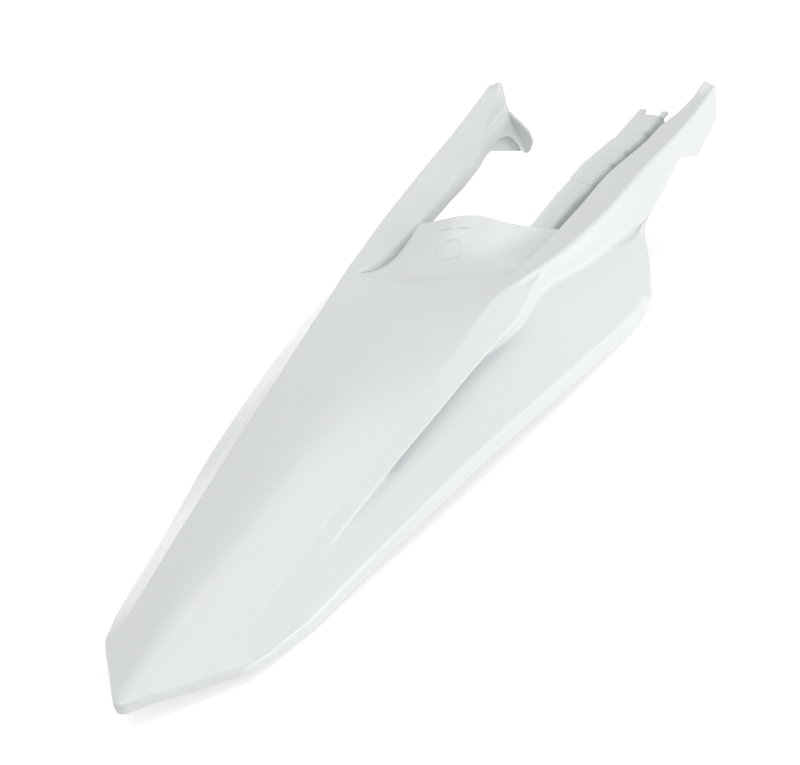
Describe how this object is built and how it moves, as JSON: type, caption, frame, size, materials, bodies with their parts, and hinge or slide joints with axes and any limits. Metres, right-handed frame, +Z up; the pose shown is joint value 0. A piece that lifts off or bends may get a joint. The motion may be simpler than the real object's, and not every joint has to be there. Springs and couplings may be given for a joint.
{
  "type": "motorcycle rear fender",
  "caption": "Long moulded rear fender shell with a pointed tail, recessed side wings, a dished seat deck and forward arms.",
  "frame": {"origin": "centre of the bounding box, on the bench that the fender rests on", "axes": "+Y forward along the fender from tail to arms, +X to the rider's right, +Z up"},
  "size_m": [0.2636, 0.7044, 0.0722],
  "materials": {
    "white_plastic": "smooth gloss moulding"
  },
  "bodies": {
    "root": {"rear_fender": "white_plastic"}
  },
  "joints": []
}
